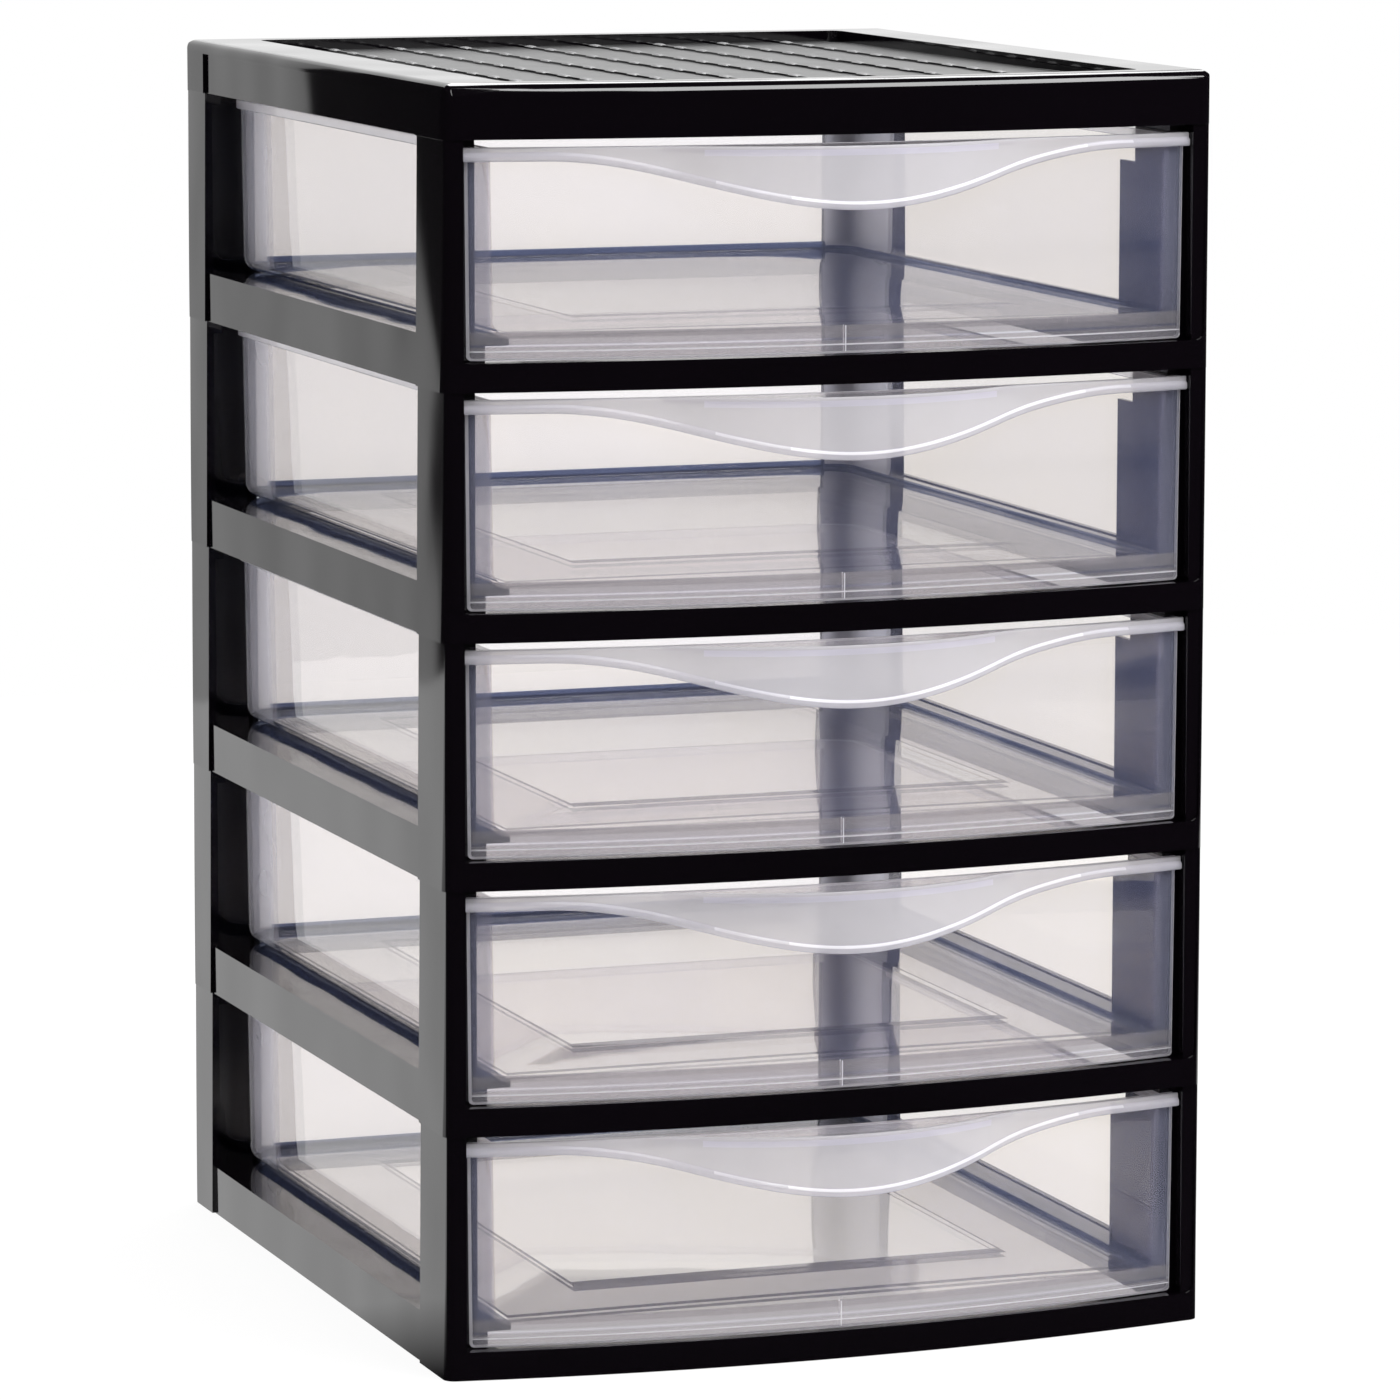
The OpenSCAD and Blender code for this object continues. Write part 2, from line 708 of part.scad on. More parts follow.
// Where each level stands, counted from 1 at the foot
module at_level(i) {
    translate([0, -mid_y, (i - 1) * level_h]) children();
}

at_level(1) frame_module();  // frame_1
at_level(2) frame_module();  // frame_2
at_level(3) frame_module();  // frame_3
at_level(4) frame_module();  // frame_4
at_level(5) frame_module();  // frame_5
at_level(level_count + 1) lid_module();  // lid
at_level(1) drawer_module();  // drawer_1
at_level(2) drawer_module();  // drawer_2
at_level(3) drawer_module();  // drawer_3
at_level(4) drawer_module();  // drawer_4
at_level(5) drawer_module();  // drawer_5
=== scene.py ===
import math
import bpy
import bmesh
import numpy as np
from mathutils import Matrix, Vector
from mathutils.geometry import delaunay_2d_cdt


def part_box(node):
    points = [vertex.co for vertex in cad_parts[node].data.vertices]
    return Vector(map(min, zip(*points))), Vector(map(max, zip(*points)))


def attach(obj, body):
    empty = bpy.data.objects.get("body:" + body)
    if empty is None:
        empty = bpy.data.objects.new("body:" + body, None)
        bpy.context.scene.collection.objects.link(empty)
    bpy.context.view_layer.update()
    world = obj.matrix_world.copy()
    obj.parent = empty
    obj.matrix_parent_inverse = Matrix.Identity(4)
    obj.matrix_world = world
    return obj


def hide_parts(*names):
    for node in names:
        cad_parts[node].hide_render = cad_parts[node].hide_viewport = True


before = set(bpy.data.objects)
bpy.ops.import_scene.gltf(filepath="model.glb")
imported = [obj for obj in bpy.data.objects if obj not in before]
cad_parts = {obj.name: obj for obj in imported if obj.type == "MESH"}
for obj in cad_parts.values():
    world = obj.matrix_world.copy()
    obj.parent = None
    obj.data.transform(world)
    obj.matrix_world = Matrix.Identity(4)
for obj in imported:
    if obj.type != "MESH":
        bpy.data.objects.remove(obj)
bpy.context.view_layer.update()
scene = bpy.context.scene
scene.view_settings.view_transform = "Standard"
scene.cycles.transparent_max_bounces = 40  # a line of sight crosses many clear walls

tower = {
    "levels": 5,
    "pitch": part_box("frame_2")[0].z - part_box("frame_1")[0].z,
    "width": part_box("frame_1")[1].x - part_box("frame_1")[0].x,
    "depth": 0.330,  # from the front corners to the back face
}
midY = tower["depth"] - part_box("frame_1")[1].y  # from the front corner plane to the origin
levels = range(1, tower["levels"] + 1)
print("frame loaded:", len(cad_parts), "nodes")

# The camera was fitted to the picture's edges: its axes are the world's turned about Z,
# tipped about X and rolled, and its place is where the shifted world has its origin.
viewPoint = {
    "turn": 0.350262536,
    "tip": 0.143230772,
    "roll": 0.00158802384,
    "shift": (-0.0917755746, 0.247451622, 2.57363782),
    "lens": 182.37,
    "sensor": 36,
    "clip": (0.1, 50),
    "corner": (-0.14865, 0.0, 0.0),  # the front left corner at the foot
}


def placeCamera(v):
    # spot = corner - (right, under, ahead) * shift, with the three axes turned as above
    c, s = math.cos(v["turn"]), math.sin(v["turn"])
    cp, sp = math.cos(v["tip"]), math.sin(v["tip"])
    cr, sr = math.cos(v["roll"]), math.sin(v["roll"])
    across = Vector((c, -s, 0))
    ahead = Vector((s * cp, c * cp, -sp))
    down = Vector((-s * sp, -c * sp, -cp))
    right = across * cr - down * sr
    under = across * sr + down * cr
    tx, ty, tz = v["shift"]
    spot = -(right * tx + under * ty + ahead * tz) + Vector(v["corner"]) - Vector((0, midY, 0))
    data = bpy.data.cameras.new("camera")
    data.lens, data.sensor_width = v["lens"], v["sensor"]
    data.clip_start, data.clip_end = v["clip"]
    camera = bpy.data.objects.new("camera", data)
    turned = Matrix((right, -under, -ahead)).transposed().to_4x4()
    camera.matrix_world = Matrix.Translation(spot) @ turned
    scene.collection.objects.link(camera)
    scene.camera = camera


placeCamera(viewPoint)
print("camera placed")


def newMaterial(name):
    # a material with an empty node tree
    m = bpy.data.materials.new(name)
    m.use_nodes = True
    m.node_tree.nodes.clear()
    return m, m.node_tree


def addNode(tree, kind, **values):
    # each value goes to the socket of its name, or else to the node's own setting
    n = tree.nodes.new(kind)
    for key, value in values.items():
        if key in n.inputs:
            n.inputs[key].default_value = value
        else:
            setattr(n, key, value)
    return n


# Glossy black moulding: a near black base, smudges that change its roughness, and a wall
# that isn't quite flat: height = ripple noise - bend * (front - y)^2 on the sides, for y
# before the front line, fading in between two heights, as on a thin moulded wall.
glossBlack = {"colour": (0.0014, 0.0008, 0.0016), "roughness": 0.06, "ior": 1.54, "ripple": 13}
unbent = {"front": -1.0, "bend": 0.0, "fadeIn": (0.30, 0.40)}
frameFinish = {**glossBlack, "wave": 0.0011, "front": -0.075, "bend": 0.6, "fadeIn": (0.36, 0.46)}
lidFinish = {**glossBlack, "wave": 0.0014, "front": 0.055, "bend": 0.5, "fadeIn": (0.30, 0.40)}
satinBlack = {"roughness": 0.30, "ior": 1.45, "ripple": 60, "wave": 0.0002}
recessFinish = {**satinBlack, **unbent, "colour": (0.016, 0.016, 0.017)}
# the studs' grey base colour is a painted reflection: it stands in for the white that the black bars
# mirror
studPaintedSheen = {**satinBlack, **unbent, "colour": (0.10, 0.10, 0.104), "roughness": 0.34, "ior": 1.54}
smudges = {
    "scale": 14,
    "detail": 3,
    "least": 0.7,  # times the roughness
    "most": 1.4,
}
bentWall = {
    "detail": 1,        # of the ripple
    "lowShare": 0.25,   # of the bend, below the two heights
    "sideways": 0.7,    # least X of a side wall's normal
}


def blackPlastic(name, v):
    m, tree = newMaterial(name)
    link = tree.links.new
    out = addNode(tree, "ShaderNodeOutputMaterial")
    shader = addNode(tree, "ShaderNodeBsdfPrincipled")
    shader.inputs["Base Color"].default_value = (*v["colour"], 1)
    shader.inputs["IOR"].default_value = v["ior"]
    place = addNode(tree, "ShaderNodeTexCoord")
    smudge = addNode(tree, "ShaderNodeTexNoise", Scale=smudges["scale"], Detail=smudges["detail"])
    link(place.outputs["Object"], smudge.inputs["Vector"])
    spread = addNode(tree, "ShaderNodeMapRange")
    spread.inputs["To Min"].default_value = v["roughness"] * smudges["least"]
    spread.inputs["To Max"].default_value = v["roughness"] * smudges["most"]
    link(smudge.outputs["Fac"], spread.inputs["Value"])
    link(spread.outputs["Result"], shader.inputs["Roughness"])
    ripple = addNode(tree, "ShaderNodeTexNoise", Scale=v["ripple"], Detail=bentWall["detail"])
    link(place.outputs["Object"], ripple.inputs["Vector"])
    wave = addNode(tree, "ShaderNodeMath", operation="MULTIPLY")
    wave.inputs[1].default_value = v["wave"]
    link(ripple.outputs["Fac"], wave.inputs[0])
    axes = addNode(tree, "ShaderNodeSeparateXYZ")
    link(place.outputs["Object"], axes.inputs[0])
    before = addNode(tree, "ShaderNodeMath", operation="SUBTRACT")
    before.inputs[0].default_value = v["front"]
    link(axes.outputs["Y"], before.inputs[1])
    least = addNode(tree, "ShaderNodeMath", operation="MAXIMUM")
    least.inputs[1].default_value = 0
    link(before.outputs[0], least.inputs[0])
    square = addNode(tree, "ShaderNodeMath", operation="POWER")
    square.inputs[1].default_value = 2
    link(least.outputs[0], square.inputs[0])
    fade = addNode(tree, "ShaderNodeMapRange")
    fade.inputs["From Min"].default_value, fade.inputs["From Max"].default_value = v["fadeIn"]
    fade.inputs["To Min"].default_value = -bentWall["lowShare"] * v["bend"]
    fade.inputs["To Max"].default_value = -v["bend"]
    link(axes.outputs["Z"], fade.inputs["Value"])
    facing = addNode(tree, "ShaderNodeNewGeometry")
    parts = addNode(tree, "ShaderNodeSeparateXYZ")
    link(facing.outputs["True Normal"], parts.inputs[0])
    sideways = addNode(tree, "ShaderNodeMath", operation="ABSOLUTE")
    link(parts.outputs["X"], sideways.inputs[0])
    onSides = addNode(tree, "ShaderNodeMath", operation="GREATER_THAN")
    onSides.inputs[1].default_value = bentWall["sideways"]
    link(sideways.outputs[0], onSides.inputs[0])
    depth = addNode(tree, "ShaderNodeMath", operation="MULTIPLY")
    link(fade.outputs["Result"], depth.inputs[0])
    link(onSides.outputs[0], depth.inputs[1])
    bent = addNode(tree, "ShaderNodeMath", operation="MULTIPLY_ADD")
    link(square.outputs[0], bent.inputs[0])
    link(depth.outputs[0], bent.inputs[1])
    link(wave.outputs[0], bent.inputs[2])
    bump = addNode(tree, "ShaderNodeBump", Strength=1, Distance=1)
    link(bent.outputs[0], bump.inputs["Height"])
    link(bump.outputs["Normal"], shader.inputs["Normal"])
    link(shader.outputs["BSDF"], out.inputs["Surface"])
    return m


# Clear moulding: most light passes each face with a warm tint, a share is scattered as a
# bluish haze to both sides, and the mirror share follows Schlick: least + (1 - least) *
# (1 - cos)^5. A faint ripple stands for the flow marks of the moulding. The tray has
# finishes for its sides, rear wall and rear corners, for the flat and sloped floor and its
# folds, and for the bent foot of its walls; the front for its face, the border beside the
# face and the apron over the rail; the rim is shared; the rest belongs to the brim. Some
# of them are painted light: the extra haze of the rear wall and rear corners is a painted
# reflection, the darker slope and the dark creases are painted reflections at the floor's
# folds, the dark bent foot is painted shade, the whitish rim is a painted highlight, and
# the lip's dim and bright upper edge is a painted highlight.
clearFinishes = {
    "tray": {"through": (1.0, 0.982, 0.962), "haze": (0.55, 0.60, 0.98), "share": 0.04, "gloss": 0.02},
    # rear and corner: their haze, stronger than the sides', is a painted reflection that lightens the
    # posts seen through the rear wall and its corners
    "rear": {"through": (1.0, 0.985, 0.975), "haze": (0.84, 0.84, 0.96), "share": 0.15, "gloss": 0.02},
    "corner": {"through": (0.97, 0.955, 0.95), "haze": (0.88, 0.89, 1.0), "share": 0.30, "gloss": 0.02},
    "floor": {"through": (1.0, 0.985, 0.970), "haze": (0.66, 0.68, 0.90), "share": 0.04, "gloss": 0.03},
    # slope and crease: the slope's darker tint and the dark lines along the folds are painted
    # reflection of the floor's folds
    "slope": {"through": (0.93, 0.905, 0.89), "haze": (0.56, 0.60, 0.80), "share": 0.07, "gloss": 0.03},
    "crease": {"through": (0.34, 0.32, 0.32), "haze": (0.46, 0.46, 0.52), "share": 0.16, "gloss": 0.03},
    # bend: the dark, bluish foot of the walls is painted shade
    "bend": {"through": (0.26, 0.29, 0.40), "haze": (0.38, 0.44, 0.62), "share": 0.14, "gloss": 0.03},
    "face": {"through": (1.0, 0.984, 0.955), "haze": (0.49, 0.56, 1.0), "share": 0.048, "gloss": 0.02},
    "border": {"through": (0.88, 0.87, 0.88), "haze": (0.46, 0.48, 0.66), "share": 0.16, "gloss": 0.05},
    "apron": {"through": (0.74, 0.72, 0.72), "haze": (0.50, 0.49, 0.55), "share": 0.27, "gloss": 0.05},
    # rim: the whitish, nearly opaque finish is a painted highlight on the clear edges, the tray's
    # flange, the seam and the bright line over the foot
    "rim": {"through": (0.95, 0.94, 0.96), "haze": (0.88, 0.87, 0.92), "share": 0.68, "gloss": 0.03},
    "lens": {"through": (0.96, 0.94, 0.94), "haze": (0.66, 0.65, 0.70), "share": 0.35, "gloss": 0.05},
    "brim": {"through": (0.99, 0.98, 0.97), "haze": (0.66, 0.65, 0.68), "share": 0.60, "gloss": 0.06},
    "band": {"through": (0.99, 0.98, 0.97), "haze": (0.68, 0.67, 0.76), "share": 0.66, "gloss": 0.03},
    "lip": {"through": (0.99, 0.98, 0.97), "haze": (0.65, 0.64, 0.70), "share": 0.56, "gloss": 0.03},
    # dim and gleam: the lip's upper edge, whitened over a span to the right of the middle, is a painted
    # highlight
    "paintedDimGleam": {"through": (0.99, 0.98, 0.98), "haze": (0.80, 0.79, 0.85), "share": 0.62, "gloss": 0.03},
    "paintedGleam": {"through": (0.99, 0.99, 0.99), "haze": (0.96, 0.95, 1.0), "share": 0.72, "gloss": 0.03},
}
mirrorLeast = 0.015
flowMarks = {
    "scale": 16,
    "detail": 2,
    "strength": 0.25,
    "height": 0.0005,
    "span": (0.3, 0.7),     # of the noise, over which the haze changes
    "cloud": (0.85, 1.15),  # times the haze's share
}


def clearPlastic(name, v):
    m, tree = newMaterial(name)
    link = tree.links.new
    out = addNode(tree, "ShaderNodeOutputMaterial")
    place = addNode(tree, "ShaderNodeTexCoord")
    flow = addNode(tree, "ShaderNodeTexNoise", Scale=flowMarks["scale"], Detail=flowMarks["detail"])
    link(place.outputs["Object"], flow.inputs["Vector"])
    bump = addNode(tree, "ShaderNodeBump", Strength=flowMarks["strength"], Distance=flowMarks["height"])
    link(flow.outputs["Fac"], bump.inputs["Height"])
    clear = addNode(tree, "ShaderNodeBsdfTransparent")
    clear.inputs["Color"].default_value = (*v["through"], 1)
    front = addNode(tree, "ShaderNodeBsdfDiffuse")
    front.inputs["Color"].default_value = (*v["haze"], 1)
    back = addNode(tree, "ShaderNodeBsdfTranslucent")
    back.inputs["Color"].default_value = (*v["haze"], 1)
    milk = addNode(tree, "ShaderNodeMixShader")
    milk.inputs[0].default_value = 0.5
    link(front.outputs[0], milk.inputs[1])
    link(back.outputs[0], milk.inputs[2])
    cloud = addNode(tree, "ShaderNodeMapRange")
    cloud.inputs["From Min"].default_value, cloud.inputs["From Max"].default_value = flowMarks["span"]
    cloud.inputs["To Min"].default_value = v["share"] * flowMarks["cloud"][0]
    cloud.inputs["To Max"].default_value = v["share"] * flowMarks["cloud"][1]
    link(flow.outputs["Fac"], cloud.inputs["Value"])
    body = addNode(tree, "ShaderNodeMixShader")
    link(cloud.outputs["Result"], body.inputs[0])
    link(clear.outputs[0], body.inputs[1])
    link(milk.outputs[0], body.inputs[2])
    sheen = addNode(tree, "ShaderNodeBsdfGlossy")
    sheen.inputs["Roughness"].default_value = v["gloss"]
    link(bump.outputs["Normal"], sheen.inputs["Normal"])
    slant = addNode(tree, "ShaderNodeLayerWeight")
    slant.inputs["Blend"].default_value = 0.5
    rise = addNode(tree, "ShaderNodeMath", operation="POWER")
    rise.inputs[1].default_value = 5
    link(slant.outputs["Facing"], rise.inputs[0])
    mirror = addNode(tree, "ShaderNodeMapRange")
    mirror.inputs["To Min"].default_value = mirrorLeast
    link(rise.outputs[0], mirror.inputs["Value"])
    whole = addNode(tree, "ShaderNodeMixShader")
    link(mirror.outputs["Result"], whole.inputs[0])
    link(body.outputs[0], whole.inputs[1])
    link(sheen.outputs[0], whole.inputs[2])
    link(whole.outputs[0], out.inputs["Surface"])
    return m


frameBlack = blackPlastic("frame_gloss", frameFinish)
lidBlack = blackPlastic("lid_gloss", lidFinish)
recessBlack = blackPlastic("lid_recess", recessFinish)
studBlack = blackPlastic("lid_studs", studPaintedSheen)
clear = {name: clearPlastic("drawer_" + name, v) for name, v in clearFinishes.items()}
print("materials made")


def linkPiece(mesh, name, body, node):
    # the piece moves with a body, and is seen in place of a node's solid
    piece = bpy.data.objects.new(name, mesh)
    scene.collection.objects.link(piece)
    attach(piece, body)
    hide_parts(node)
    return piece


def faceIndex(rows, cols):
    # corner numbers of the quads of a grid of rows x cols points
    at = np.arange(rows * cols).reshape(rows, cols)
    return np.stack([at[:-1, :-1], at[:-1, 1:], at[1:, 1:], at[1:, :-1]], axis=-1).reshape(-1, 4)


def gridPart(points, finish):
    # a surface given as points on a grid, with one finish number, or one for each face
    rows, cols = points.shape[:2]
    faces = faceIndex(rows, cols)
    return points.reshape(-1, 3), faces.tolist(), np.broadcast_to(np.ravel(finish), len(faces)).tolist()


mergeWithin = 2e-6  # points nearer than this are one
edgeOfGrid = ((0, slice(None)), (-1, slice(None)), (slice(None), 0), (slice(None), -1))


def makeMesh(name, parts, materials, smooth):
    # parts are joined, their shared edges merged and their faces turned outwards; an edge
    # that turns by more than smooth, in degrees, stays sharp
    points, faces, finishes, start = [], [], [], 0
    for spots, corners, marks in parts:
        points.append(spots)
        faces += [[c + start for c in f] for f in corners]
        finishes += marks
        start += len(spots)
    mesh = bpy.data.meshes.new(name)
    mesh.from_pydata(np.concatenate(points).tolist(), [], faces)
    for m in materials:
        mesh.materials.append(m)
    mesh.polygons.foreach_set("material_index", finishes)
    shape = bmesh.new()
    shape.from_mesh(mesh)
    bmesh.ops.remove_doubles(shape, verts=shape.verts, dist=mergeWithin)
    bmesh.ops.dissolve_degenerate(shape, dist=mergeWithin / 2, edges=shape.edges)
    bmesh.ops.recalc_face_normals(shape, faces=shape.faces)
    openEdges = sum(1 for e in shape.edges if len(e.link_faces) != 2)
    shape.to_mesh(mesh)
    shape.free()
    mesh.polygons.foreach_set("use_smooth", [True] * len(mesh.polygons))
    mesh.set_sharp_from_angle(angle=math.radians(smooth))
    print("  ", name, len(mesh.polygons), "faces, open edges:", openEdges)
    return mesh


# One drawer, in metres from the front corner plane and the foot of its module.
drawer = {
    "half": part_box("drawer_1")[1].x,  # half the width of the band, the widest part
    "top": 0.087,
    "faceMid": -0.012,   # the drawer front's face, at the middle
    "bow": 0.0156,
    "thick": 0.0022,
    "reachIn": 0.0015,   # the drawer front stands this far inside the band's ends
    "taper": 0.0006,
    "foot": 0.0110,
    "cornerR": 0.0016,
    "edge": 0.0003,      # small rounding of all edges
    "outline": 0.0007,   # rounding of the drawer front's outline
    "seam": 0.0005,
    "lines": ((0.0024, 0.0028), (0.0042, 0.0050)),  # a painted highlight line and a dull line over the foot
    "points": {"corner": 9, "height": 12, "beside": 5, "across": 81},
    "finishes": ("face", "border", "apron", "rim"),
}
brim = {
    "width": 0.132,
    "reach": 0.018,
    "blendR": 0.060,
    "drop": 0.023,
    "bell": 0.224,
    "bandH": 0.005,
    "proud": 0.0016,
    "thick": 0.0022,
    "edge": drawer["edge"] * 1.5,
    "joint": (0.0012, 0.0034),  # below the top, where the top plate meets the hanging wall
    "lipH": 0.003,
    "lipProud": 0.0008,
    "shoulder": (0.0004, 0.0, -0.0005, -0.0010),  # heights of the lip's upper edge about lipH
    "lipFoot": ((0.0, 0.0008), (0.0002, 0.0003), (0.0007, 0.0)),  # its lower edge: in, and up
    "bandHalf": 0.056,
    "lit": (-0.028, 0.096),  # from where to where the painted highlight lies on the lip's upper edge
    "dimLit": (-0.052, 0.114),
    "plateLeast": 0.0022,  # the top plate ends where it would be shorter than this
    "plateUnder": 0.0001,
    "points": (30, 12, 36),  # on the brim's arc, the blend and the drawer front's arc
    "finishes": ("brim", "lip", "paintedGleam", "band", "paintedDimGleam"),
}
tray = {
    "half": tower["width"] / 2 - 0.017,  # its walls stand 17 mm inside the tower's sides
    "low": 0.0188,
    "back": 0.320,
    "thick": 0.0018,
    "lean": 0.001,
    "edgeR": 0.006,
    "cornerR": 0.012,
    "rimH": 0.0036,
    "rimW": 0.0018,
    "crownH": 0.0018,
    "crownFoot": 0.009,
    "crownBorder": 0.046,
    "crownFront": (0.0058, 0.042),  # where the slope at the front starts and ends
    "crease": (0.0012, 0.007),  # width of the bent strip along the side and cross folds
    "points": {"side": 10, "corner": 9, "back": 12, "front": 22, "foot": 8, "height": 5},
    "paintedShadeRows": 4,      # strips of the profile darkened with painted shade at the foot of the walls
    "rearPaintedShadeRows": 6,  # and of the back wall
    "finishes": ("tray", "floor", "slope", "bend", "rim", "crease", "rear", "corner"),
}
panelR = (drawer["half"] ** 2 + drawer["bow"] ** 2) / (2 * drawer["bow"])
panelY = drawer["faceMid"] + panelR


def arcY(x, inset):
    # the drawer front's face, moved back by inset
    return panelY - np.sqrt((panelR - inset) ** 2 - x ** 2)


def panelHalf(z):
    # half the drawer front's width at a height: it narrows to the foot, with round corners
    d = drawer
    half = d["half"] - d["reachIn"] - d["taper"] * (d["top"] - z) / (d["top"] - d["foot"])
    below = np.clip(d["cornerR"] - (z - d["foot"]), 0, None)
    return half - (d["cornerR"] - np.sqrt(d["cornerR"] ** 2 - below ** 2))


def panelParts():
    # x = u * half width(z), y on the arc: the face and the back, with rounded rims between
    # them: the outline is drawn in by the rounding at both faces
    d = drawer
    e = d["outline"]
    points = d["points"]
    mark = d["finishes"].index
    floorTop = tray["low"] + tray["thick"]
    foot = d["foot"] + d["cornerR"] * (1 - np.cos(np.linspace(0, np.pi / 2, points["corner"])))
    lines = d["foot"] + np.array(d["lines"]).ravel()
    above = np.linspace(floorTop, d["top"], points["height"])
    z = np.concatenate([foot, lines, above])
    clearU = (tray["half"] - tray["lean"]) / (d["half"] - d["reachIn"] - d["taper"] / 2)
    beside = np.linspace(clearU, 1, points["beside"])[1:]
    u = np.concatenate([-beside[::-1], np.linspace(-clearU, clearU, points["across"]), beside])
    seam = d["seam"] / d["half"] / 2
    u = np.sort(np.append(u[np.abs(u) > seam], [-seam, seam]))
    mid = (d["foot"] + d["top"]) / 2
    sheets = []
    for drawIn, inset in ((e, 0), (0, e), (0, d["thick"] - e), (e, d["thick"])):
        x = u[None, :] * (panelHalf(z) - drawIn)[:, None]
        zIn = mid + (z - mid) * (1 - drawIn / (mid - d["foot"]))
        sheets.append(np.stack([x, arcY(x, inset), np.broadcast_to(zIn[:, None], x.shape)], axis=-1))
    middle = u[:-1] + u[1:]  # twice the middle of each column of faces
    marks = np.where(np.abs(middle) / 2 > clearU, mark("border"), mark("face"))
    marks = np.broadcast_to(marks, (len(z) - 1, len(middle))).copy()
    bright = len(foot)  # the row of faces between the first pair of lines, a painted highlight
    dull = bright + 2   # and between the second
    footRows = bright + len(lines)
    marks[:footRows] = mark("apron")
    marks[bright] = mark("rim")
    marks[dull] = mark("border")
    # the seam takes the rim finish: a painted highlight
    marks[:footRows, np.abs(middle) < seam] = mark("rim")
    parts = [gridPart(sheets[0], marks), gridPart(sheets[3], marks)]
    # the outline's rounded rims take the rim finish: a painted highlight
    for a, b in zip(sheets[:-1], sheets[1:]):
        for edge in edgeOfGrid:
            parts.append(gridPart(np.stack([a[edge], b[edge]]), mark("rim")))
    return parts


def brimPath():
    # the plan line of the brim and band from the middle to the right: an arc, the blend of
    # the other hand and the drawer front's arc; and the way that it faces at each point
    b = brim
    chordY = arcY(b["width"] / 2, 0)
    faceY = drawer["faceMid"] - b["reach"] + b["proud"]
    rise = chordY - faceY
    brimR = (b["width"] ** 2 / 4 + rise ** 2) / (2 * rise)
    centreY = faceY + brimR
    gap = panelY - centreY
    reachA = brimR + b["blendR"]
    reachB = panelR + b["blendR"]
    blendY = (reachA ** 2 - reachB ** 2 + gap ** 2) / (2 * gap)
    blendX = math.sqrt(reachA ** 2 - blendY ** 2)
    brimTurn = math.atan2(blendX, -blendY)
    panelTurn = math.atan2(blendX, gap - blendY)
    endTurn = math.asin(drawer["half"] / (panelR + b["proud"] + b["lipProud"]))
    arcs = (
        ((0, centreY), brimR, 0, brimTurn),
        ((blendX, centreY + blendY), -b["blendR"], brimTurn, panelTurn),
        ((0, panelY), panelR, panelTurn, endTurn),
    )
    lines = []
    for (centre, r, start, end), count in zip(arcs, b["points"]):
        turn = np.linspace(start, end, count)
        facing = np.stack([np.sin(turn), -np.cos(turn)], axis=-1)
        lines.append((np.array(centre) + r * facing, facing))
    half = np.concatenate([lines[0][0], lines[1][0][1:], lines[2][0][1:]])
    facing = np.concatenate([lines[0][1], lines[1][1][1:], lines[2][1][1:]])
    flip = np.array([-1, 1])
    return np.concatenate([half[:0:-1] * flip, half]), np.concatenate([facing[:0:-1] * flip, facing])


def bellEdge(x):
    # the band's lower edge: level, but for the bell of (1 + cos) / 2 at the middle
    b = brim
    level = drawer["top"] - b["bandH"]
    fall = (b["drop"] - b["bandH"]) * (1 + np.cos(np.clip(2 * x / b["bell"], -1, 1) * np.pi)) / 2
    return level - fall


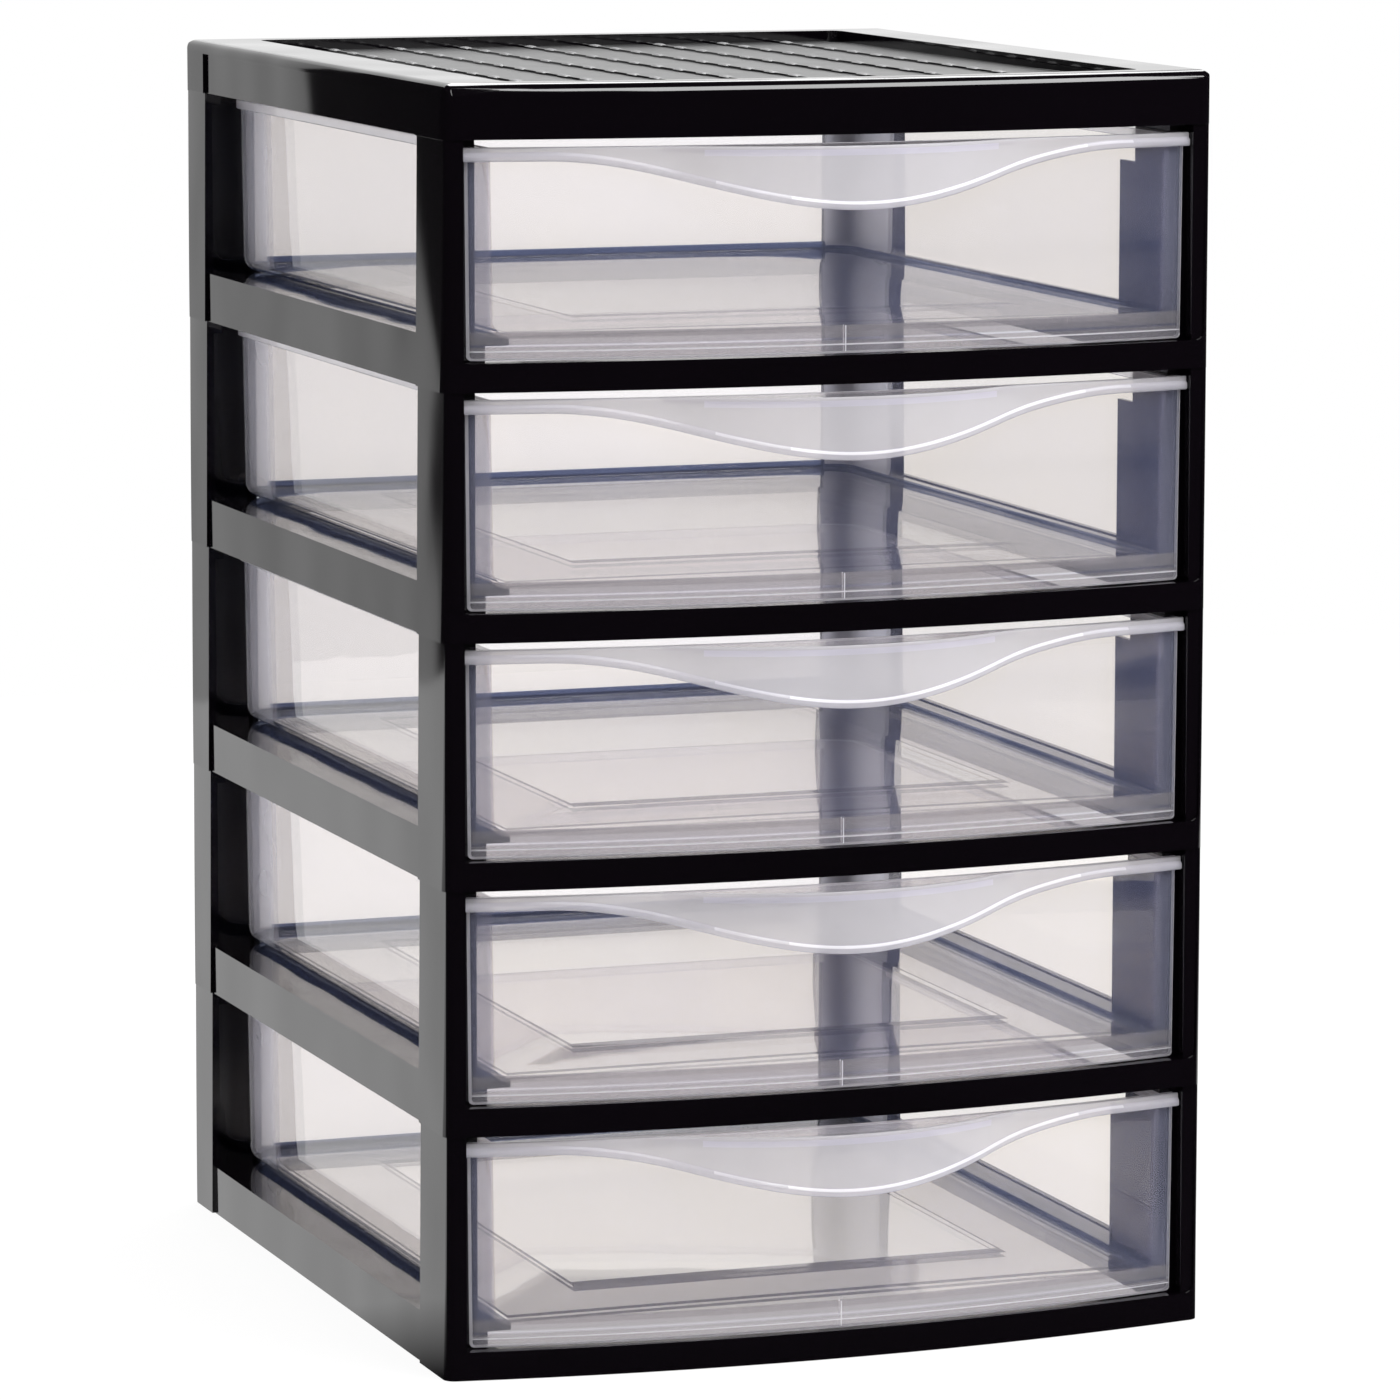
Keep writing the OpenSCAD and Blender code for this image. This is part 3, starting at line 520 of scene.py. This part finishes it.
def brimParts():
    # a closed profile carried along the plan line. A profile point is its way ahead of the
    # line and its height, down from the top or up from the bell's edge
    b = brim
    e = b["edge"]
    chamfer = 0.3 * e  # the middle of a rounding lies this far in
    face, lip, inside = b["proud"], b["proud"] + b["lipProud"], b["proud"] - b["thick"]
    down = [(inside + e, 0), (face - e, 0), (face - chamfer, chamfer), (face, e)]
    down += [(face, z) for z in b["joint"]]
    slope = 0.15 * b["lipProud"]  # how far the lip's shoulder leans
    shoulder = zip((face, face + slope, lip - slope, lip), b["shoulder"])
    up = [(ahead, b["lipH"] + rise) for ahead, rise in shoulder]
    up += [(lip - back, rise) for back, rise in b["lipFoot"]]
    lipRows = len(up)
    up += [(inside + e, 0), (inside + chamfer, chamfer), (inside, e)]
    last = [(inside, e), (inside + chamfer, chamfer)]
    line, facing = brimPath()
    low = bellEdge(line[:, 0])
    top = np.full_like(low, drawer["top"])
    rings = []
    for rows, base, sign in ((down, top, -1), (up, low, 1), (last, top, -1)):
        for ahead, dz in rows:
            spot = line + facing * ahead
            rings.append(np.column_stack([spot, base + sign * dz]))
    rings.append(rings[0])
    grid = np.stack(rings)
    n = len(down)
    joint = n - len(b["joint"])
    mark = b["finishes"].index
    marks = np.zeros((grid.shape[0] - 1, grid.shape[1] - 1), int)
    marks[n:n + lipRows] = mark("lip")
    for finish, (start, end) in (("paintedDimGleam", b["dimLit"]), ("paintedGleam", b["lit"])):
        lit = (line[:-1, 0] > start) & (line[:-1, 0] < end)
        marks[n + 1:n + 3, lit] = mark(finish)  # the lip's upper edge, with a painted highlight
    marks[joint, np.abs(line[:-1, 0]) < b["bandHalf"]] = mark("band")
    loop = grid.shape[0] - 1
    ends = [(grid[:-1, k], [list(range(loop))], [0]) for k in (0, -1)]
    # the top of the brim: from the hanging wall back to the drawer front
    backY = arcY(line[:, 0], drawer["thick"] / 2)
    frontSpot = line + facing * (face - b["thick"] / 2)
    wide = np.nonzero(backY - frontSpot[:, 1] > b["plateLeast"])[0]
    upper = np.stack([frontSpot[wide], np.column_stack([frontSpot[wide, 0], backY[wide]])])
    plates = [np.concatenate([upper, np.full((*upper.shape[:2], 1), z)], axis=-1)
              for z in (drawer["top"] - b["plateUnder"], drawer["top"] - b["thick"])]
    lens = [gridPart(p, 0) for p in plates]
    for edge in edgeOfGrid:
        lens.append(gridPart(np.stack([plates[0][edge], plates[1][edge]]), 0))
    return [gridPart(grid, marks)] + ends, lens


def trayLine(sideIn, backIn):
    # the tray's plan line drawn in by sideIn and backIn, from the front left round the back
    # to the front right: sides, rear corner arcs and back
    t = tray
    half = t["half"] - sideIn
    back = t["back"] - backIn
    r = t["cornerR"] - backIn
    frontY = arcY(half, drawer["thick"] / 2)
    along = np.linspace(frontY, back - r, t["points"]["side"])
    side = np.column_stack([np.full(len(along), half), along])
    turn = np.linspace(0, np.pi / 2, t["points"]["corner"])[1:]
    corner = np.column_stack([half - r + r * np.cos(turn), back - r + r * np.sin(turn)])
    right = np.concatenate([side, corner])
    across = np.linspace(-(half - r), half - r, t["points"]["back"])[1:-1]
    middle = np.column_stack([across, np.full(len(across), back)])
    return np.concatenate([right * [-1, 1], middle, right[::-1]])


def crownRise(x, y):
    # how far the floor stands up at a place: the least of its four slopes
    t = tray
    run = t["crownBorder"] - t["crownFoot"]
    sideRise = (t["half"] - t["crownFoot"] - np.abs(x)) / run
    backRise = (t["back"] - t["crownFoot"] - y) / run
    frontRise = (y - t["crownFront"][0]) / (t["crownFront"][1] - t["crownFront"][0])
    return t["crownH"] * np.clip(np.minimum(np.minimum(sideRise, backRise), frontRise), 0, 1)


def floorPart(outline, z):
    # a flat floor inside the outline, folded along four nested rectangles: the outer and the
    # inner pair stand one crease apart, and their corners are joined by the mitres
    t = tray
    h, v = t["crease"][0] / 2, t["crease"][1] / 2
    x0, x1 = t["half"] - t["crownFoot"], t["half"] - t["crownBorder"]
    y0, y1 = t["crownFront"]
    y2, y3 = t["back"] - t["crownBorder"], t["back"] - t["crownFoot"]
    rings = [(x0 + h, y0 - h, y3 + h), (x0 - h, y0 + v, y3 - v),
             (x1 + h, y1 - v, y2 + v), (x1 - h, y1 + v, y2 - v)]
    folds = np.array([[[-x, a], [x, a], [x, b], [-x, b]] for x, a, b in rings]).reshape(-1, 2)
    spots = np.concatenate([outline, folds])
    n = len(outline)
    edges = [(k, (k + 1) % n) for k in range(n)]
    for start in range(n, n + len(folds), 4):
        edges += [(start + k, start + (k + 1) % 4) for k in range(4)]
    edges += [(k, k + 4) for k in range(n, n + len(folds) - 4)]
    cut = delaunay_2d_cdt([Vector(p) for p in spots], edges, [], 1, 1e-7)
    flat = np.array([tuple(p) for p in cut[0]])
    points = np.column_stack([flat, z + crownRise(flat[:, 0], flat[:, 1])])
    faces = [list(f) for f in cut[2]]
    centre = flat[np.array(faces)].mean(axis=1)
    depth = [np.minimum(np.minimum(x - np.abs(centre[:, 0]), centre[:, 1] - a), b - centre[:, 1]) > 0
             for x, a, b in rings]
    zone = np.sum(depth, axis=0)  # how many rectangles a face lies in
    # the creases and the slope get darker finishes: painted reflection along the folds
    marks = [t["finishes"].index(f) for f in ("floor", "crease", "slope", "crease", "floor")]
    return points, faces, np.array(marks)[zone].tolist()


def trayParts():
    # a profile carried round the plan line: floor edge, outer wall, rim flange and inner
    # wall, closed below by two folded floors. A profile point is its inset and its height
    t = tray
    e = drawer["edge"]
    top = drawer["top"]
    r = t["edgeR"]
    turn = np.linspace(np.pi / 2, 0, t["points"]["foot"])
    outer = [(r - r * math.cos(a), t["low"] + r - r * math.sin(a)) for a in turn]
    outer += [(0, z) for z in np.linspace(t["low"] + r, top - t["rimH"], t["points"]["height"])[1:]]
    flange = [(e - t["rimW"], top - t["rimH"]), (-t["rimW"], top - t["rimH"] + e),
              (-t["rimW"], top - e), (e - t["rimW"], top)]
    outer += flange
    ri = r - t["thick"]
    inner = [(r - ri * math.cos(a), t["low"] + r - ri * math.sin(a)) for a in turn]
    wallZ = np.linspace(t["low"] + r, top - e, len(outer) - len(inner))[1:]
    inner += [(t["thick"], z) for z in wallZ]
    inner += [(t["thick"] - e, top)]
    profile = outer + inner[::-1]

    def ring(inset, z):
        lean = t["lean"] * (top - z) / (top - t["low"])
        line = trayLine(inset + lean, inset)
        return np.column_stack([line, np.full(len(line), z)])

    grid = np.stack([ring(i, z) for i, z in profile])
    m = len(outer)
    mark = t["finishes"].index
    marks = np.zeros((grid.shape[0] - 1, grid.shape[1] - 1), int)
    count = marks.shape[1]
    cornerFrom = t["points"]["side"] - 2  # the last strip of each side is part of the corner
    rearFrom = cornerFrom + t["points"]["corner"]
    rear = slice(rearFrom, count - rearFrom)
    # the rear corners and rear wall take the hazier finishes, a painted reflection
    marks[:, cornerFrom:count - cornerFrom] = mark("corner")
    marks[:, rear] = mark("rear")
    # the foot rows take the dark finish, a painted shade
    for columns, paintedShadeRows in ((slice(None), t["paintedShadeRows"]), (rear, t["rearPaintedShadeRows"])):
        marks[:paintedShadeRows, columns] = marks[-paintedShadeRows:, columns] = mark("bend")
    # the tray's flange takes the rim finish: a painted highlight
    marks[m - len(flange) - 1:m + 1] = mark("rim")
    parts = [gridPart(grid, marks)]
    for k in (0, -1):
        parts.append(gridPart(np.stack([grid[:m, k], grid[:m - 1:-1, k]]), mark("tray")))
    frontX = np.linspace(1, -1, t["points"]["front"])[1:-1]
    rows = []
    for k, z in ((0, t["low"]), (-1, t["low"] + t["thick"])):
        edge = grid[k, :, :2]
        x = frontX * edge[-1, 0]
        front = np.column_stack([x, arcY(x, drawer["thick"] / 2)])
        parts.append(floorPart(np.concatenate([edge, front]), z))
        whole = np.concatenate([edge[-1:], front, edge[:1]])
        rows.append(np.column_stack([whole, np.full(len(whole), z)]))
    parts.append(gridPart(np.stack(rows), mark("floor")))
    return parts


def lift(parts, level):
    # parts made from a module's front corners and foot, put in the place of one level
    up = np.array([0, -midY, (level - 1) * tower["pitch"]])
    return [(points + up, faces, marks) for points, faces, marks in parts]


panelShape, trayShape = panelParts(), trayParts()
brimShape, lensShape = brimParts()
pieces = (  # with their finishes, and the angle from which their edges are sharp
    ("tray", trayShape, tray["finishes"], 20),
    ("front", panelShape, drawer["finishes"], 40),
    ("brim", brimShape, brim["finishes"], 50),
    ("brimTop", lensShape, ("lens",), 40),
)
for k in levels:
    node = f"drawer_{k}"
    for part, shape, finishes, smooth in pieces:
        mesh = makeMesh(f"{node}_{part}", lift(shape, k), [clear[f] for f in finishes], smooth)
        linkPiece(mesh, f"{node}_{part}", node, node)
print("drawers made")


# The black mouldings keep their solids' forms: a merged copy, with a fine round on every
# sharp edge so that it catches the light.
blackEdge = {
    "width": 0.00035,
    "segments": 2,
    "sharpest": math.radians(33),  # an edge that turns by more than this is rounded
    "flat": math.radians(0.6),     # faces that turn by less than this are joined
    "weight": 90,                  # how far the large faces decide the shading
}


def dressBlack(node, name, materials):
    # the solid's own mesh, merged, with the bevel and its shading left as modifiers
    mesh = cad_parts[node].data.copy()
    mesh.name = name
    shape = bmesh.new()
    shape.from_mesh(mesh)
    bmesh.ops.remove_doubles(shape, verts=shape.verts, dist=mergeWithin)
    bmesh.ops.dissolve_limit(shape, angle_limit=blackEdge["flat"], verts=shape.verts, edges=shape.edges)
    shape.to_mesh(mesh)
    shape.free()
    mesh.materials.clear()
    for m in materials:
        mesh.materials.append(m)
    mesh.polygons.foreach_set("use_smooth", [True] * len(mesh.polygons))
    mesh.polygons.foreach_set("material_index", [0] * len(mesh.polygons))
    piece = linkPiece(mesh, name, "tower", node)
    bevel = piece.modifiers.new("edge", "BEVEL")
    bevel.width = blackEdge["width"]
    bevel.segments = blackEdge["segments"]
    bevel.limit_method = "ANGLE"
    bevel.angle_limit = blackEdge["sharpest"]
    weigh = piece.modifiers.new("normals", "WEIGHTED_NORMAL")
    weigh.weight = blackEdge["weight"]
    weigh.keep_sharp = True
    return piece


recess = {
    "under": (0.002, 0.006),  # its faces lie this far under the lid's top
    "sideRim": 0.02,
    "backRim": 0.01,
    "level": 0.9,             # least Z of a normal that looks up
}


def markRecess(mesh, v):
    # the faces of the lid's recess, below its rims and looking up, take the satin finish
    n = len(mesh.polygons)
    centre, normal = np.empty(3 * n), np.empty(3 * n)
    mesh.polygons.foreach_get("center", centre)
    mesh.polygons.foreach_get("normal", normal)
    x, y, z = centre.reshape(-1, 3).T
    up = normal.reshape(-1, 3)[:, 2] > v["level"]
    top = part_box("lid")[1]
    low = (z < top.z - v["under"][0]) & (z > top.z - v["under"][1])
    inside = (np.abs(x) < tower["width"] / 2 - v["sideRim"]) & (y < top.y - v["backRim"])
    mesh.polygons.foreach_set("material_index", (up & low & inside).astype(int).tolist())


# Short raised bars stand in rows along the ribs of the recess.
studs = {
    "pitch": (0.0273, 0.025),
    "rows": 8,
    "perRow": 12,
    "first": 0.026,  # from the front corners to the first bar's middle
    "size": (0.0028, 0.011),
    "base": 0.4661,  # just under the ribs' tops
    "height": 0.0006,
    "points": (7, 9),
}


def studParts(v):
    # height = base + height * (1 - u^4) * (1 - v^4) over u, v from -1 to 1, at each place
    u, w = np.meshgrid(*[np.linspace(-1, 1, n) for n in v["points"]], indexing="ij")
    x = (np.arange(v["rows"]) - (v["rows"] - 1) / 2) * v["pitch"][0]
    y = v["first"] + np.arange(v["perRow"]) * v["pitch"][1] - midY
    rise = v["height"] * (1 - u ** 4) * (1 - w ** 4)
    bar = np.stack([u * v["size"][0] / 2, w * v["size"][1] / 2, v["base"] + rise], axis=-1)
    parts = []
    for a in x:
        for b in y:
            upper = bar + np.array([a, b, 0])
            under = upper.copy()
            under[..., 2] = v["base"]
            parts += [gridPart(upper, 0), gridPart(under, 0)]
    return parts


# The web beside each guide goes on down to the rail, so that no light shows under it.
guideFeet = {
    "inner": 0.1310,
    "outer": 0.1436,
    "front": 0.0063,
    "back": 0.0087,
    "low": 0.0085,
    "high": 0.0162,
}


def boxPart(xs, ys, zs):
    # the corner with the numbers i, j, k of its three sides comes at 4 i + 2 j + k
    corners = np.stack(np.meshgrid(xs, ys, zs, indexing="ij"), axis=-1).reshape(-1, 3)
    faces = [[0, 1, 3, 2], [4, 6, 7, 5], [0, 4, 5, 1], [2, 3, 7, 6], [0, 2, 6, 4], [1, 5, 7, 3]]
    return corners, faces, [0] * len(faces)


def guideParts(v):
    # one block on each side, from the front corner plane and the foot of its module
    return [boxPart(sorted((s * v["inner"], s * v["outer"])), (v["front"], v["back"]),
                    (v["low"], v["high"])) for s in (-1, 1)]


for k in levels:
    node = f"frame_{k}"
    feet = makeMesh(node + "_guideFeet", lift(guideParts(guideFeet), k), [frameBlack], 40)
    linkPiece(feet, node + "_guideFeet", "tower", node)
    dressBlack(node, node + "_moulding", [frameBlack])
studBars = makeMesh("lid_studs", studParts(studs), [studBlack], 60)
linkPiece(studBars, "lid_studs", "tower", "lid")
lidPiece = dressBlack("lid", "lid_moulding", [lidBlack, recessBlack])
markRecess(lidPiece.data, recess)
print("black mouldings made")


# The floor is white to the camera, but for a share of the shadow. Mirror rays see it white
# behind the tower's front and dark before it, with a fade from darkTo to darkFrom.
studio = {
    "far": 1.6,
    "near": -0.42,
    "side": 1.3,
    "under": 0.0002,  # below the tower's foot
    "shadow": 0.08,
    "darkFrom": -0.02,
    "darkTo": -0.14,
    "dark": 0.03,
}


def makeFloor(v):
    # seen = (1 - shadow) * white + shadow * lit surface
    mesh = bpy.data.meshes.new("studioFloor")
    side, near, far = v["side"], v["near"], v["far"]
    corners = [(-side, near, 0), (side, near, 0), (side, far, 0), (-side, far, 0)]
    mesh.from_pydata(corners, [], [(0, 1, 2, 3)])
    floor = bpy.data.objects.new("studioFloor", mesh)
    floor.location.z = -v["under"]
    scene.collection.objects.link(floor)
    m, tree = newMaterial("studio_white")
    link = tree.links.new
    out = addNode(tree, "ShaderNodeOutputMaterial")
    dull = addNode(tree, "ShaderNodeBsdfDiffuse")
    dull.inputs["Color"].default_value = (1, 1, 1, 1)
    place = addNode(tree, "ShaderNodeTexCoord")
    axes = addNode(tree, "ShaderNodeSeparateXYZ")
    link(place.outputs["Object"], axes.inputs[0])
    fade = addNode(tree, "ShaderNodeMapRange")
    fade.inputs["From Min"].default_value = v["darkTo"]
    fade.inputs["From Max"].default_value = v["darkFrom"]
    fade.inputs["To Min"].default_value = v["dark"]
    fade.inputs["To Max"].default_value = 1
    link(axes.outputs["Y"], fade.inputs["Value"])
    seen = addNode(tree, "ShaderNodeEmission", Strength=1)
    mirrored = addNode(tree, "ShaderNodeEmission")
    link(fade.outputs["Result"], mirrored.inputs["Strength"])
    ray = addNode(tree, "ShaderNodeLightPath")
    pick = addNode(tree, "ShaderNodeMath", operation="MULTIPLY")
    pick.inputs[1].default_value = 1 - v["shadow"]
    link(ray.outputs["Is Camera Ray"], pick.inputs[0])
    first = addNode(tree, "ShaderNodeMixShader")
    link(pick.outputs[0], first.inputs[0])
    link(dull.outputs[0], first.inputs[1])
    link(seen.outputs[0], first.inputs[2])
    mix = addNode(tree, "ShaderNodeMixShader")
    link(ray.outputs["Is Glossy Ray"], mix.inputs[0])
    link(first.outputs[0], mix.inputs[1])
    link(mirrored.outputs[0], mix.inputs[2])
    link(mix.outputs[0], out.inputs["Surface"])
    mesh.materials.append(m)


# Mirror rays see a white wall behind the tower, a little to its right: its brightness goes
# by the cosine to its axis, and ends sharply in a dark studio. Dull surfaces get an even light.
room = {
    "axis": (0.26, 0.9656, 0.0),
    "wall": ((0.796, 0.025), (0.812, 0.58), (0.90, 0.75), (0.97, 1.0)),  # cosine and brightness
    "even": 0.82,
}


def makeWorld(v):
    # camera rays and rays through clear plastic see plain white
    world = bpy.data.worlds.new("studio")
    scene.world = world
    world.use_nodes = True
    tree = world.node_tree
    tree.nodes.clear()
    link = tree.links.new
    out = addNode(tree, "ShaderNodeOutputWorld")
    place = addNode(tree, "ShaderNodeTexCoord")
    near = addNode(tree, "ShaderNodeVectorMath", operation="DOT_PRODUCT")
    near.inputs[1].default_value = v["axis"]
    link(place.outputs["Generated"], near.inputs[0])
    fade = addNode(tree, "ShaderNodeValToRGB")
    stops = fade.color_ramp.elements
    while len(stops) < len(v["wall"]):
        stops.new(0.5)
    for stop, (at, bright) in zip(stops, v["wall"]):
        stop.position, stop.color = at, (bright, bright, bright, 1)
    link(near.outputs["Value"], fade.inputs["Fac"])
    around = addNode(tree, "ShaderNodeBackground")
    link(fade.outputs["Color"], around.inputs["Color"])
    even = addNode(tree, "ShaderNodeBackground", Color=(1, 1, 1, 1), Strength=v["even"])
    white = addNode(tree, "ShaderNodeBackground", Color=(1, 1, 1, 1))
    ray = addNode(tree, "ShaderNodeLightPath")
    first = addNode(tree, "ShaderNodeMixShader")
    link(ray.outputs["Is Glossy Ray"], first.inputs[0])
    link(even.outputs[0], first.inputs[1])
    link(around.outputs[0], first.inputs[2])
    both = addNode(tree, "ShaderNodeMath", operation="MAXIMUM")
    link(ray.outputs["Is Camera Ray"], both.inputs[0])
    link(ray.outputs["Is Transmission Ray"], both.inputs[1])
    last = addNode(tree, "ShaderNodeMixShader")
    link(both.outputs[0], last.inputs[0])
    link(first.outputs[0], last.inputs[1])
    link(white.outputs[0], last.inputs[2])
    link(last.outputs[0], out.inputs["Surface"])


lamps = {
    "overheadLamp": {"spot": (0.3, 0.95, 1.5), "aim": (0, 0, 0.45), "size": (1.8, 0.6), "watts": 26},
    "frontLamp": {"spot": (0.6, -1.1, 1.5), "aim": (0, 0, 0.25), "size": (1.3, 0.9), "watts": 38},
}


def addLamp(name, v):
    # an oblong lamp whose face is turned to its aim
    data = bpy.data.lights.new(name, "AREA")
    data.shape, data.energy = "RECTANGLE", v["watts"]
    data.size, data.size_y = v["size"]
    lamp = bpy.data.objects.new(name, data)
    lamp.location = v["spot"]
    lamp.rotation_euler = (Vector(v["aim"]) - Vector(v["spot"])).to_track_quat("-Z", "Y").to_euler()
    scene.collection.objects.link(lamp)


makeFloor(studio)
makeWorld(room)
for name, v in lamps.items():
    addLamp(name, v)
print("studio lit")
